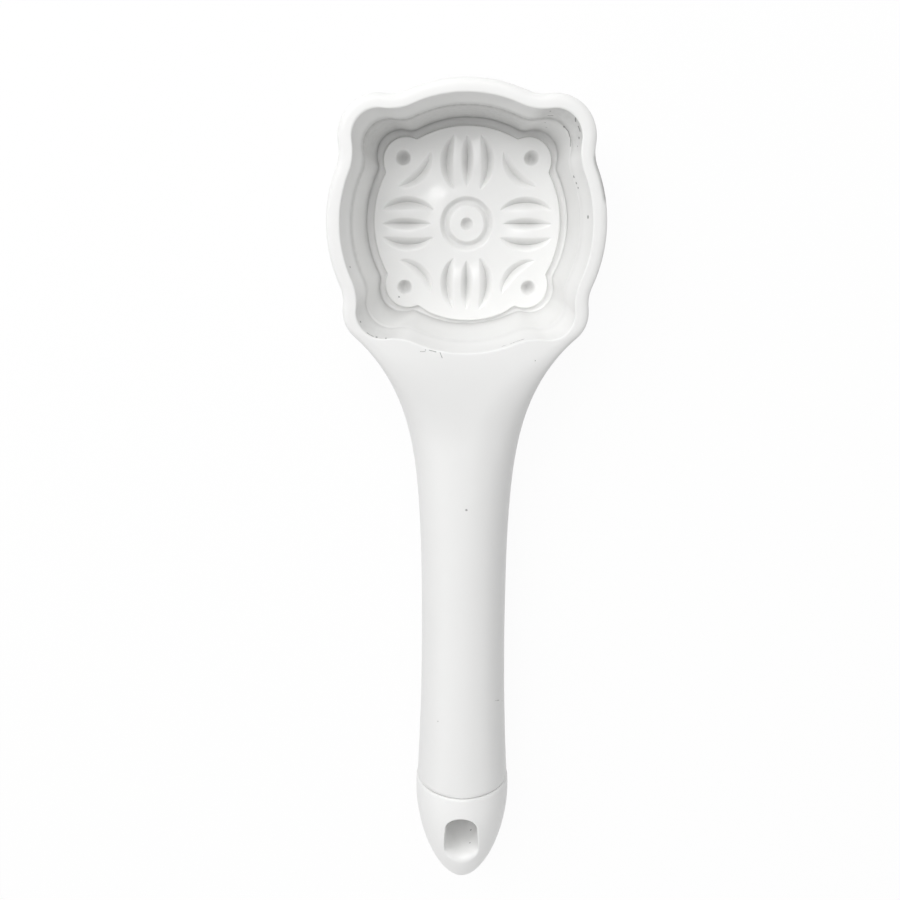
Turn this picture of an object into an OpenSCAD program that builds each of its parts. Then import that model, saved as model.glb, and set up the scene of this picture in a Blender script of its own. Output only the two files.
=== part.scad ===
// Maamoul mould: a lobed cup with an engraved floor plate, a waisted hollow handle and a push-in end cap.
// It lies on its back with the mouth up (+Z). The back is centred on the origin and the handle runs to -Y.
// A lobed outline is written as [half width, side lobe radius, corner lobe place, corner lobe radius,
// hollow radius]. A length along the handle is a distance s from the cup's centre towards -Y.

/* [Head] */
// Width of the head across two opposite side lobes
head_w = 67.3; // [62:0.1:74]
// Height of the head from its flat back to its rim
head_h = 28.8; // [26:0.1:34]
// Radius of each of the four side lobes
side_lobe_r = 35.5; // [32:0.5:42]
// How far each corner lobe stays inside the side lobes, along both sides of the head
corner_step = 3.4; // [2.5:0.1:4.5]
// Radius of each of the four corner lobes
corner_lobe_r = 9.85; // [8.5:0.05:11]
// Radius of the hollow between a side lobe and a corner lobe
lobe_hollow_r = 9.5; // [6:0.5:12]
// How far the outline of the flat back lies inside the outline of the rim
back_in = 9; // [7:0.1:10]
// How far the centres of the back's corner lobes lie inside those of the rim
back_corner_in = 4.5; // [3:0.1:6]
// How much smaller the back's corner lobes are in radius
back_corner_less = 3; // [2:0.1:4]
// Fullness of the bowl between rim and back, where 2 is an ellipse
bowl_fullness = 2.2; // [2:0.1:3]
// Thickness of the bowl's bottom under the pattern plate
bottom_t = 3.8; // [2:0.1:5]

/* [Cup] */
// Width of the flat rim
rim_w = 3.45; // [2.5:0.05:4.5]
// Depth of the upper tier of the cup's wall
upper_tier_h = 5.3; // [4:0.1:8]
// How far the upper tier slopes inwards
upper_tier_in = 2; // [1.5:0.1:2.8]
// Height of the shoulder under the upper tier
shoulder_h = 0.8; // [0.5:0.1:2]
// How far the shoulder steps inwards
shoulder_in = 0.4; // [0.2:0.1:1]
// How far the lower tier slopes inwards
lower_tier_in = 1.4; // [0.5:0.1:2]
// How far each corner lobe of the cup moves inwards from the rim to the floor
corner_in = 3.5; // [3:0.1:4.5]
// Radius of the hollow between the lobes at the foot of the wall
foot_hollow_r = 4; // [2:0.5:8]

/* [Pattern plate] */
// Thickness of the plate's flange, which forms the bottom of the moat
flange_t = 1.4; // [1.2:0.1:3]
// Gap between the plate's flange and the cup's wall
plate_gap = 0.05; // [0.02:0.01:0.1]
// Width of the moat round the engraved floor
moat_w = 2; // [1:0.1:3]
// Height of the engraved floor over the moat
moat_h = 1.6; // [0.8:0.1:2]
// How far each corner lobe of the floor lies inside the foot of the wall
floor_corner_in = 0.9; // [0.4:0.1:1.5]
// Radius of the cusp between two lobes of the floor
cusp_r = 0.9; // [0.5:0.1:2]
// Depth of the engraved grooves
groove_h = 0.9; // [0.4:0.1:1]
// Half of the angle between a groove's two sides
groove_angle = 50; // [40:1:52]
// Radius of the centre ring, at the bottom of its groove
ring_r = 5.3; // [4.5:0.1:6]
// Radius of the dimple in the middle of the ring
centre_dimple_r = 1.7; // [1:0.1:2]
// Radius of the dimple in each corner lobe
corner_dimple_r = 2.2; // [1.6:0.1:2.6]
// Depth of the dimple in each corner lobe
corner_dimple_h = 1.6; // [0.6:0.1:1.6]
// How far each corner dimple lies outside its lobe's centre, along both sides
corner_dimple_out = 0.5; // [0:0.1:1]
// Distance between the ring and the inner end of a petal
petal_gap = 3.4; // [2.5:0.1:4]
// Distance between the outer end of a petal and the edge of the floor
petal_margin = 2.5; // [1.5:0.1:3.5]
// Distance of a petal's side grooves from its axis, halfway along it
petal_half_w = 5.2; // [4.6:0.1:5.6]
// How far a petal's side grooves bow outwards
petal_bow = 1.9; // [1.6:0.1:2.4]
// Distance between a corner dimple's centre and the groove that curves round its inner side
corner_groove_gap = 5.6; // [5:0.1:6.2]
// Length of the groove round a corner dimple
corner_groove_len = 12.4; // [10:0.1:13]
// How far the groove round a corner dimple bows towards the ring
corner_groove_bow = 2; // [1.6:0.1:2.4]

/* [Handle] */
// Distance from the cup's centre to the seam between handle and end cap
handle_len = 160.8; // [145:0.1:180]
// Radius of the handle at its waist
waist_r = 11.85; // [11.3:0.01:13]
// Distance from the cup's centre to the waist
waist_s = 107; // [100:0.5:115]
// Radius of the handle at the seam
handle_end_r = 13.45; // [13:0.01:14.5]
// Power of the curve that flares the neck from the waist to the corner lobes
flare_power = 4.4; // [3:0.1:5]
// Where the flare meets a corner lobe, as an angle round the lobe
flare_angle = 35; // [25:1:45]
// How far the crown of the neck lies under the rim
crown_drop = 0.1; // [0.05:0.01:0.5]
// Distance from the cup's centre to where the crown starts to fall to the handle
crown_start = 32; // [30:0.5:36]
// Length of the crown's fall to the handle
crown_fall = 12; // [8:0.5:24]
// How far the neck's underside rises from the handle to the bowl
belly_rise = 6; // [3:0.1:8]
// Length of the underside's rise
belly_len = 32; // [20:0.5:40]
// Clearance between the end cap's belly and the plane of the flat back
rest_gap = 0.8; // [0.5:0.1:3]
// Wall of the handle at its waist
handle_wall = 3.3; // [2.6:0.1:4]
// How much the hollow narrows in radius from the cap's seat to its blind end
core_draft = 0.4; // [0.1:0.05:0.8]
// Distance from the cup's centre to the blind end of the hollow
core_end = 36; // [34:0.5:50]
// Radius of the corner round the blind end
core_round = 4; // [1:0.5:6]

/* [End cap] */
// How far the end cap stands proud of the handle at the seam
cap_step = 0.18; // [0.05:0.01:0.4]
// How much the end cap swells from the seam to its greatest radius
cap_swell = 0.2; // [0.05:0.01:0.6]
// Distance from the seam to the cap's greatest radius
cap_belly = 5; // [4:0.1:7]
// Length of the nose from the greatest radius to the tip
nose_len = 31.8; // [30:0.1:36]
// Chamfer on both edges of the seam
seam_chamfer = 0.25; // [0.1:0.05:0.4]
// Length of the spigot that is pushed into the handle
spigot_len = 16; // [10:0.5:20]
// Wall of the spigot
spigot_wall = 2; // [1.2:0.1:3]
// Radial clearance between the spigot and its seat
spigot_gap = 0.05; // [0.02:0.01:0.1]
// Step between the seat's wall and the hollow behind it
seat_step = 0.8; // [0.4:0.1:1]
// Room between the spigot's end and the step behind it
seat_room = 2; // [1:0.5:4]
// Lead-in chamfer on the spigot
spigot_lead = 0.8; // [0.3:0.1:1]
// Width of the hanging slot
slot_w = 9.9; // [7:0.1:11]
// Length of the hanging slot from end to end
slot_len = 18; // [14:0.1:19]
// Distance from the seam to the near end of the hanging slot
slot_start = 6.5; // [5.5:0.1:9]
// Wall between the spigot's hollow and the hanging slot
slot_wall = 3.5; // [2:0.1:5]

/* [Hidden] */
$fn = 96;
// Steps along the arcs of an eighth of an outline
side_steps = 5;
hollow_steps = 4;
corner_steps = 5;
// Steps of the bowl's rounding, of the neck, of the grip, round the handle and of the turned outlines
bowl_steps = 7;
neck_steps = 18;
grip_steps = 8;
handle_sides = 56;
turned_steps = 16;
// How much closer the neck's rings lie near the head, where 1 is evenly
neck_crowding = 1.5;
// Exponents of the nose's outline, a blunt bullet
nose_power = 1.77;
nose_root = 1.714;
// Exponent of the neck's section where it meets the head, against 2 on the round handle
neck_squareness = 3.2;
// How far the neck stays inside the corner lobes
tuck = 0.4;
// How far cuts run past the faces that they open
over = 1;

rim_z = head_h;
// Distance of each corner lobe's centre from both middle planes of the head
corner_lobe_at = head_w / 2 - corner_step - corner_lobe_r;
moat_z = bottom_t + flange_t;
floor_z = moat_z + moat_h;
wall_in = upper_tier_in + shoulder_in + lower_tier_in;
rim_out = [head_w / 2, side_lobe_r, corner_lobe_at, corner_lobe_r, lobe_hollow_r];
rim_in = rim_out + rim_w * [-1, -1, 0, -1, 1];
back_out = rim_out - [back_in, back_in, back_corner_in, back_corner_less, 0];
foot = [rim_in[0] - wall_in, rim_in[1] - wall_in, rim_in[2] - corner_in, rim_in[3], foot_hollow_r];
flange_out = foot + plate_gap * [-1, -1, 0, -1, 1];
floor_corner_r = foot[3] - moat_w + floor_corner_in * sqrt(2);
floor_out = [foot[0] - moat_w, foot[1] - moat_w, foot[2] - floor_corner_in, floor_corner_r, cusp_r];
dimple_at = floor_out[2] + corner_dimple_out;
petal_start = ring_r + petal_gap;
petal_end = floor_out[0] - petal_margin;
cap_edge_r = handle_end_r + cap_step;
cap_r = cap_edge_r + cap_swell;
axis_z = cap_r + rest_gap;
waist_arc_r = ((handle_len - waist_s) ^ 2 + (handle_end_r - waist_r) ^ 2) / (2 * (handle_end_r - waist_r));
flare_s = corner_lobe_at + corner_lobe_r * sin(flare_angle);
flare_w = corner_lobe_at + corner_lobe_r * cos(flare_angle) - tuck - waist_r;
core_r = waist_r - handle_wall;
core_end_r = core_r - core_draft;
seat_r = core_r + seat_step;
seat_start = handle_len - spigot_len - seat_room;
spigot_r = seat_r - spigot_gap;
spigot_end = handle_len - spigot_len;
hollow_r = spigot_r - spigot_wall;
hollow_end = handle_len + slot_start - slot_wall;
belly_s = handle_len + cap_belly;

function mix(a, b, t) = a + (b - a) * t;
function smooth(t) = let (u = max(0, min(1, t))) u * u * (3 - 2 * u);
function polar(r, angle) = r * [cos(angle), sin(angle)];
function turned(p, angle) = [p[0] * cos(angle) - p[1] * sin(angle), p[0] * sin(angle) + p[1] * cos(angle)];
function bearing(from, to) = atan2(to[1] - from[1], to[0] - from[0]);
function centre(points) = [for (p = points) 1] * points / len(points);
function bent(x, power) = sign(x) * pow(abs(x), power);

// Centre of the hollow between the side lobe at c1 and the corner lobe at c2
function hollow_centre(o, c1, c2) =
    let (r1 = o[1] + o[4], r2 = o[3] + o[4], d = norm(c2 - c1), e = (c2 - c1) / d)
    let (a = (r1 ^ 2 - r2 ^ 2 + d ^ 2) / (2 * d))
    c1 + a * e + sqrt(r1 ^ 2 - a ^ 2) * [e[1], -e[0]];

// An eighth of an outline: half a side lobe, the hollow beside it and half a corner lobe
function eighth(o) =
    let (c1 = [o[0] - o[1], 0], c2 = [o[2], o[2]], h = hollow_centre(o, c1, c2))
    let (side_end = bearing(c1, h), hollow_start = bearing(h, c1) + 360)
    let (hollow_end = bearing(h, c2), corner_start = bearing(c2, h))
    concat(
        [for (i = [0:side_steps - 1]) c1 + polar(o[1], side_end * i / side_steps)],
        [for (i = [0:hollow_steps - 1]) h + polar(o[4], mix(hollow_start, hollow_end, i / hollow_steps))],
        [for (i = [0:corner_steps]) c2 + polar(o[3], mix(corner_start, 45, i / corner_steps))]);

// The whole outline, counterclockwise: each quarter is an eighth and its mirror image
function outline(o) =
    let (half = eighth(o), n = len(half))
    let (quarter = concat(half, [for (i = [n - 2:-1:1]) [half[i][1], half[i][0]]]))
    [for (turn = [0:3], p = quarter) turned(p, 90 * turn)];

function ring(o, z) = [for (p = outline(o)) [p[0], p[1], z]];

// Ring of the cup's wall at a depth under the rim, sloped inwards by an amount
function wall_ring(inwards, depth) = ring(mix(rim_in, foot, inwards / wall_in), rim_z - depth);

// Ring of the bowl's outside, at an angle from 0 at the rim to 90 at the back
function bowl_ring(angle) =
    let (down = pow(sin(angle), 2 / bowl_fullness), inwards = 1 - pow(cos(angle), 2 / bowl_fullness))
    ring(mix(rim_out, back_out, inwards), rim_z * (1 - down));

// Half width of the neck: it follows the corner lobes, then flares down to the waist
function lobe_half_w(s) = corner_lobe_at + sqrt(corner_lobe_r ^ 2 - (s - corner_lobe_at) ^ 2) - tuck;
function flare_half_w(s) = waist_r + flare_w * pow((waist_s - s) / (waist_s - flare_s), flare_power);
function neck_half_w(s) = s < flare_s ? lobe_half_w(s) : flare_half_w(s);
function neck_top(s) = mix(rim_z - crown_drop - axis_z, waist_r, smooth((s - crown_start) / crown_fall));
function neck_bottom(s) = -waist_r + belly_rise * smooth(1 - (s - flare_s) / belly_len);

// Section of the neck round the handle's axis: a superellipse that turns into the waist's circle
function neck_ring(s) =
    let (half_w = neck_half_w(s), top = neck_top(s), bottom = neck_bottom(s))
    let (power = 2 / mix(neck_squareness, 2, smooth((s - flare_s) / belly_len)))
    [for (i = [0:handle_sides - 1]) let (p = polar(1, 360 * i / handle_sides))
        [half_w * bent(p[0], power), (top + bottom) / 2 + (top - bottom) / 2 * bent(p[1], power), s]];

// The grip is round and swells from the waist to the seam along an arc
function grip_r(s) = waist_r + waist_arc_r - sqrt(waist_arc_r ^ 2 - (s - waist_s) ^ 2);
function grip_ring(r, s) = [for (i = [0:handle_sides - 1]) concat(polar(r, 360 * i / handle_sides), s)];

// Solid through rings of equally many points, with a fan over each end
module loft(rings) {
    n = len(rings[0]);
    last = len(rings) - 1;
    low = n * (last + 1);
    points = concat([for (r = rings, p = r) p], [centre(rings[0]), centre(rings[last])]);
    sides = [for (k = [0:last - 1], j = [0:n - 1]) let (i = (j + 1) % n)
        [k * n + j, (k + 1) * n + j, (k + 1) * n + i, k * n + i]];
    bottom = [for (j = [0:n - 1]) [low, j, (j + 1) % n]];
    top = [for (j = [0:n - 1]) [low + 1, last * n + (j + 1) % n, last * n + j]];
    polyhedron(points, concat(sides, bottom, top), convexity = 6);
}

// Puts what is drawn along Z, with Y up, on the handle's axis
module along_handle() {
    translate([0, 0, axis_z])
        rotate([90, 0, 0])
            children();
}

// The bowl's outside
module bowl() {
    loft([for (i = [bowl_steps:-1:0]) bowl_ring(90 * i / bowl_steps)]);
}

// The tiers of the cup and, under them, the recess for the pattern plate
module cup_cut() {
    loft([
        ring(foot, bottom_t),
        ring(foot, moat_z),
        wall_ring(upper_tier_in + shoulder_in, upper_tier_h + shoulder_h),
        wall_ring(upper_tier_in, upper_tier_h),
        wall_ring(0, 0),
        wall_ring(0, -over)]);
}

// Neck and grip in one, from inside the corner lobes to the seam
module handle() {
    along = [for (i = [0:neck_steps]) pow(i / neck_steps, neck_crowding)];
    grip = [for (i = [1:grip_steps]) mix(waist_s, handle_len - seam_chamfer, i / grip_steps)];
    along_handle()
        loft(concat(
            [for (t = along) neck_ring(mix(corner_lobe_at, waist_s, t))],
            [for (s = grip) grip_ring(grip_r(s), s)],
            [grip_ring(handle_end_r - seam_chamfer, handle_len)]));
}

// Blind hollow of the handle with the wider seat for the cap's spigot
module core_cut() {
    corner = [for (i = [0:turned_steps / 2]) polar(core_round, 90 * i / (turned_steps / 2) - 90)];
    mouth = handle_len + over;
    along_handle()
        rotate_extrude()
            polygon(concat(
                [[0, core_end]],
                [for (p = corner) p + [core_end_r - core_round, core_end + core_round]],
                [[core_r, seat_start], [seat_r, seat_start], [seat_r, mouth], [0, mouth]]));
}

module mould_body() {
    color("whitesmoke")
        difference() {
            union() {
                bowl();
                handle();
            }
            cup_cut();
            core_cut();
        }
}

// Groove turned about Z, with its bottom at a radius and its sides at two angles from the vertical
module groove(r, outer_angle, inner_angle) {
    reach = groove_h + over;
    rotate_extrude()
        polygon([
            [r, 0],
            [r + reach * tan(outer_angle), reach],
            [max(0, r - reach * tan(inner_angle)), reach]]);
}

// Curved groove along X that bows towards +Y: a turned groove, tilted so that its ends run out
module crescent(length, bow) {
    r = (length ^ 2 / 4 + bow ^ 2) / (2 * bow);
    tilt = atan(groove_h / bow);
    translate([0, 0, -groove_h])
        rotate([-tilt, 0, 0])
            translate([0, -r, 0])
                groove(r, groove_angle - tilt, groove_angle + tilt);
}

// Straight groove along X whose ends run out: the mark of a wheel with a sharp edge
module spindle(length) {
    r = (length ^ 2 / 4 + groove_h ^ 2) / (2 * groove_h);
    for (side = [-90, 90])
        translate([0, 0, r - groove_h])
            rotate([side, 0, 0])
                cylinder(h = r * tan(groove_angle), r1 = r, r2 = 0);
}

// Round hollow with a radius at the surface and a depth
module dimple(r, depth) {
    ball_r = (r ^ 2 + depth ^ 2) / (2 * depth);
    translate([0, 0, ball_r - depth])
        sphere(ball_r);
}

// A petal towards +X: two bowed grooves with a straight one between them
module petal() {
    length = petal_end - petal_start;
    translate([petal_start + length / 2, 0, 0]) {
        spindle(length);
        for (side = [0, 1])
            mirror([0, side, 0])
                translate([0, petal_half_w, 0])
                    crescent(length, petal_bow);
    }
}

// The whole pattern, in the floor's surface
module engraving() {
    translate([0, 0, -groove_h])
        groove(ring_r, groove_angle, groove_angle);
    dimple(centre_dimple_r, groove_h);
    for (turn = [0:90:270]) {
        rotate(turn)
            petal();
        rotate(turn + 45)
            translate([dimple_at * sqrt(2), 0, 0]) {
                dimple(corner_dimple_r, corner_dimple_h);
                translate([-corner_groove_gap, 0, 0])
                    rotate(90)
                        crescent(corner_groove_len, corner_groove_bow);
            }
    }
}

module pattern_plate() {
    color("white")
        difference() {
            union() {
                translate([0, 0, bottom_t])
                    linear_extrude(flange_t)
                        polygon(outline(flange_out));
                translate([0, 0, bottom_t + flange_t / 2])
                    linear_extrude(flange_t / 2 + moat_h)
                        polygon(outline(floor_out));
            }
            translate([0, 0, floor_z])
                engraving();
        }
}

// The cap's outline from the hollow of its spigot round to its tip
module cap_solid() {
    nose = [for (i = [0:turned_steps]) let (u = sin(90 * i / turned_steps))
        [cap_r * pow(1 - pow(u, nose_power), 1 / nose_root), belly_s + nose_len * u]];
    rotate_extrude()
        polygon(concat(
            [[0, hollow_end], [hollow_r, hollow_end], [hollow_r, spigot_end]],
            [[spigot_r - spigot_lead, spigot_end], [spigot_r, spigot_end + spigot_lead]],
            [[spigot_r, handle_len], [cap_edge_r - seam_chamfer, handle_len]],
            [[cap_edge_r, handle_len + seam_chamfer]],
            nose));
}

module slot_cut() {
    first = handle_len + slot_start + slot_w / 2;
    run = slot_len - slot_w;
    height = 2 * (cap_r + over);
    for (s = [first, first + run])
        translate([0, 0, s])
            rotate([90, 0, 0])
                cylinder(h = height, d = slot_w, center = true);
    translate([0, 0, first + run / 2])
        cube([slot_w, height, run], center = true);
}

module end_cap() {
    color("snow")
        along_handle()
            difference() {
                cap_solid();
                slot_cut();
            }
}

mould_body();
pattern_plate();
end_cap();
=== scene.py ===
import math

import bmesh
import bpy
import numpy as np
from mathutils import Matrix, Vector


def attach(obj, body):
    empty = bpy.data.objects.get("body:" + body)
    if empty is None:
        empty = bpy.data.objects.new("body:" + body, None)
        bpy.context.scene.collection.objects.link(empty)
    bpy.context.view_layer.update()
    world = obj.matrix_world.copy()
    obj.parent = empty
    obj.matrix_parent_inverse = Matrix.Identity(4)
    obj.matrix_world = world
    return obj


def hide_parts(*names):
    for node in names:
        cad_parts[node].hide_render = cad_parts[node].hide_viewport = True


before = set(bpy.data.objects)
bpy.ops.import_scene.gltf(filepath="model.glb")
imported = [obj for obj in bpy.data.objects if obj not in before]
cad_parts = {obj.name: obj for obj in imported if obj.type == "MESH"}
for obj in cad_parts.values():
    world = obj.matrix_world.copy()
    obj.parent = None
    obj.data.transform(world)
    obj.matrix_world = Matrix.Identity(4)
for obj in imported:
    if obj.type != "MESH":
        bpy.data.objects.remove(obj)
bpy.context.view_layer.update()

mm = 0.001  # shapes are worked out in millimetres and stored in metres


# Helpers for shapes

# Eased step from 0 to 1: three times the square less twice the cube
def smoothStep(t):
    u = np.clip(t, 0.0, 1.0)
    return u * u * (3 - 2 * u)


# Straight mix of two values: a at 0, b at 1
def mixed(a, b, t):
    return a + (b - a) * t


# Lower of two heights with a fillet of about the given size where they meet
def softLower(a, b, size):
    h = np.clip(0.5 + 0.5 * (b - a) / size, 0.0, 1.0)
    return mixed(b, a, h) - size * h * (1 - h)


# Arc round a centre, from one angle to another
def arcPoints(centre, radius, start, end, count):
    a = np.linspace(start, end, count)
    return centre + radius * np.stack([np.cos(a), np.sin(a)], axis=1)


# Angle of the line from one point to another
def bearing(origin, target):
    return math.atan2(target[1] - origin[1], target[0] - origin[0])


# Reach of a lobed outline over the polar angle. The outline is [half width, side lobe radius, corner lobe
# place, corner lobe radius, hollow radius]: side lobes, corner lobes and hollows between them, tangent arcs.
def outlineReach(outline, angles, steps=160):
    half, sideR, cornerAt, cornerR, hollowR = outline
    sideC, cornerC = np.array([half - sideR, 0.0]), np.array([cornerAt, cornerAt])
    gap = np.hypot(*(cornerC - sideC))
    unit = (cornerC - sideC) / gap
    toSide, toCorner = sideR + hollowR, cornerR + hollowR
    along = (toSide ** 2 - toCorner ** 2 + gap ** 2) / (2 * gap)
    hollowC = sideC + along * unit + math.sqrt(toSide ** 2 - along ** 2) * np.array([unit[1], -unit[0]])
    eighth = np.concatenate([
        arcPoints(sideC, sideR, 0, bearing(sideC, hollowC), steps),
        arcPoints(hollowC, hollowR, bearing(hollowC, sideC) + 2 * math.pi, bearing(hollowC, cornerC), steps),
        arcPoints(cornerC, cornerR, bearing(cornerC, hollowC), math.pi / 4, steps)])
    folded = math.pi / 4 - np.abs(np.mod(angles, math.pi / 2) - math.pi / 4)
    return np.interp(folded, np.arctan2(eighth[:, 1], eighth[:, 0]), np.hypot(eighth[:, 0], eighth[:, 1]))


# Polyline with its inner corners rounded by circular arcs: each corner is (x, y, radius)
def roundedLine(corners, steps=8, sideShare=0.49):
    pts = np.array([c[:2] for c in corners], float)
    out = [pts[:1]]
    for k in range(1, len(corners) - 1):
        back, ahead = pts[k - 1] - pts[k], pts[k + 1] - pts[k]
        lenBack, lenAhead = np.hypot(*back), np.hypot(*ahead)
        back, ahead = back / lenBack, ahead / lenAhead
        half = math.acos(np.clip(back @ ahead, -1, 1)) / 2
        reach = min(corners[k][2] / math.tan(half), sideShare * lenBack, sideShare * lenAhead)
        t = np.linspace(0, 1, steps)[:, None]
        a, b, c = pts[k] + back * reach, pts[k], pts[k] + ahead * reach
        weight = math.sin(half)
        out.append(((1 - t) ** 2 * a + 2 * weight * t * (1 - t) * b + t ** 2 * c)
                   / ((1 - t) ** 2 + 2 * weight * t * (1 - t) + t ** 2))
    out.append(pts[-1:])
    return np.concatenate(out)


# Quads of a grid of rows and columns of points, numbered row by row
def gridQuads(rows, cols, first=0, closed=False):
    r = np.arange(rows if closed else rows - 1)[:, None]
    c = np.arange(cols - 1)[None, :]
    nextRow = (r + 1) % rows
    quads = np.stack([r * cols + c, r * cols + c + 1, nextRow * cols + c + 1, nextRow * cols + c], axis=-1)
    return quads.reshape(-1, 4) + first


# Collects grids of points in millimetres and turns them into one closed mesh. Each point has a share of
# grime and painted shade, from 0 to 1, that its material reads.
class Skin:
    def __init__(self):
        self.points, self.grimeAndShade, self.quads, self.count = [], [], [], 0

    def grid(self, xyz, closed=False, grimeAndShade=0.0):
        rows, cols = xyz.shape[:2]
        self.quads.append(gridQuads(rows, cols, self.count, closed))
        self.points.append(xyz.reshape(-1, 3))
        self.grimeAndShade.append(np.broadcast_to(grimeAndShade, (rows, cols)).reshape(-1))
        self.count += rows * cols

    def mirrored(self, axis):
        sign = np.ones(3)
        sign[axis] = -1
        self.points = self.points + [p * sign for p in self.points]
        self.grimeAndShade = self.grimeAndShade * 2
        self.quads = self.quads + [q[:, ::-1] + self.count for q in self.quads]
        self.count *= 2

    def build(self, name, sharpDeg=40, weld=0.002):
        mesh = bpy.data.meshes.new(name)
        mesh.from_pydata((np.concatenate(self.points) * mm).tolist(), [], np.concatenate(self.quads).tolist())
        layer = mesh.attributes.new("grimeAndShade", "FLOAT", "POINT")
        layer.data.foreach_set("value", np.concatenate(self.grimeAndShade).astype(np.float32))
        bm = bmesh.new()
        bm.from_mesh(mesh)
        bmesh.ops.remove_doubles(bm, verts=bm.verts, dist=weld * mm)
        bmesh.ops.dissolve_degenerate(bm, edges=bm.edges, dist=1e-9)
        bmesh.ops.recalc_face_normals(bm, faces=bm.faces)
        openEdges = sum(not e.is_manifold for e in bm.edges)
        volume = bm.calc_volume(signed=True)
        if volume < 0:
            bmesh.ops.reverse_faces(bm, faces=bm.faces)
        bm.to_mesh(mesh)
        bm.free()
        mesh.shade_smooth()
        mesh.set_sharp_from_angle(angle=math.radians(sharpDeg))
        obj = bpy.data.objects.new(name, mesh)
        bpy.context.scene.collection.objects.link(obj)
        print(name, len(mesh.vertices), "points,", openEdges, "open edges,", round(volume * 1e6, 2), "ml")
        return obj


# Sizes that the pieces share, in millimetres

head = dict(
    # outlines as outlineReach takes them: the rim's two edges, the foot of the cup's wall, the flat back
    rimOut=np.array([33.65, 35.5, 20.4, 9.85, 9.5]),
    rimIn=np.array([30.2, 32.05, 20.4, 6.4, 12.95]),
    foot=np.array([26.4, 28.25, 16.9, 6.4, 4.0]),
    backOut=np.array([24.65, 26.5, 15.9, 6.85, 9.5]),
    rimZ=28.8, moatZ=5.2, floorZ=6.8, bottomZ=3.8,    # heights of rim, moat, engraved floor, cup's bottom
    wallIn=3.8,                                       # how far the wall leans in from rim to foot
)
handle = dict(
    axisZ=14.63, waistR=11.85, waistAt=107.0,                       # height of the axis, thinnest place
    endR=13.45, seamAt=160.8, chamfer=0.3,                          # end at the seam
    wall=3.3, draft=0.4, coreEnd=36.0, blindR=4.0, blindBevel=1.2,  # hollow and its blind end
    seatStep=0.8, seatFrom=142.8, leadIn=0.3, spigotGap=0.05,       # seat of the cap's spigot
    lobeR=8.375, flareDeg=47.04, flareShare=0.601, flareLow=2.99, flareHigh=9.27,   # neck
)
lobeAt = head["rimOut"][2]                            # where the corner lobe is widest
lobeW = lobeAt + head["rimOut"][3]
flareAt = lobeAt + handle["lobeR"] * math.sin(math.radians(handle["flareDeg"]))
flareW = lobeW - handle["lobeR"] * (1 - math.cos(math.radians(handle["flareDeg"])))


# Radius of the round grip at a distance s from the cup's centre: an arc that swells from waist to seam
def gripRadius(s):
    rise, run = handle["endR"] - handle["waistR"], handle["seamAt"] - handle["waistAt"]
    arcR = (run ** 2 + rise ** 2) / (2 * rise)
    past = np.maximum(s - handle["waistAt"], 0.0)
    return handle["waistR"] + arcR - np.sqrt(arcR ** 2 - past ** 2)


# Half width of the body from above: end of the corner lobe, then a flare of two powers, then the grip
def halfWidth(s):
    r = handle["lobeR"]
    lobe = lobeW - r + np.sqrt(np.maximum(r ** 2 - (s - lobeAt) ** 2, 0.0))
    left = np.clip((handle["waistAt"] - s) / (handle["waistAt"] - flareAt), 0.0, None)
    share = handle["flareShare"]
    flare = share * left ** handle["flareLow"] + (1 - share) * left ** handle["flareHigh"]
    return np.where(s < flareAt, lobe, gripRadius(s) + (flareW - handle["waistR"]) * flare)


# The mould body: cup, neck and handle in one skin

bodyShape = dict(
    rimEdgeW=1.9, rimEdgeH=1.0,           # rounding of the rim's outer edge, across and down
    innerEdgeR=0.45,                      # rounding of the rim's inner edge
    roundFrom=23.0, roundTo=68.0,         # where the neck turns from a flat top to a round one
    crownFrom=30.7, crownTo=56.0,         # where the neck's top falls from the rim to the grip
    bowlPower=2.2, filletSize=7.0,        # bowl's rounding, and its fillet to the neck
    bellyFrom=26.0, bellyTo=62.0, bellyRise=6.0, neckPower=2.7,   # rise of the neck's underside to the bowl
    neckLift=30.0, neckFade=8.0,          # takes the neck's underside out of the way under the cup
    seamDirtAndShadeW=0.35, seamDirtAndShade=0.18,        # painted shade and dirt on the edge at the seam
    headRows=146, fanRows=66, gripRows=118, topCols=26, lowCols=34,
    fanTo=46.0, fanFade=45.0,             # rows fan out from the cup as far as here, then straighten
    lowFrom=-4.0, lowTo=18.0,             # where the underside's rows meet on the middle line
)
wall = dict(
    # cup's wall as (inwards, depth, rounding), from the rim past the crease to the recess of the plate
    line=[(0.0, 0.45, 0), (2.0, 5.3, 0.5), (2.4, 6.1, 1.4), (3.8, 23.2, 0.05), (3.8, 25.0, 0)],
    creaseAt=5.3, creaseW=0.8, creaseDirtAndShade=0.1,                    # painted shade and dirt in the crease between the tiers
    footFrom=17.0, footAt=24.0, footShade=0.08,                    # painted shade at the foot of the wall
    dirtyLobes=((46, 0.34), (226, 0.2)), lobeHalf=15,             # soiled upper tiers as (angle, grime)
    farAt=100, farHalf=65, farShade=0.37,                         # painted shade on the lower tier of the far side
    shadyAt=130, shadyHalf=105, shadyCrease=0.3, shadyFoot=0.12,  # more painted shade in the crease and at the foot on the far left
    edgeAt=20.0, edgeHalf=11.0, edgeW=1.1, edgeShade=0.75,        # painted shade along a stretch of the rim's outer edge
    edgeDepth=3, lipDepth=0.3, slack=0.5,                         # how far down it goes, lip, tolerance
)
coreR = handle["waistR"] - handle["wall"]
seatR = coreR + handle["seatStep"]
endCoreR = coreR - handle["draft"]
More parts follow.
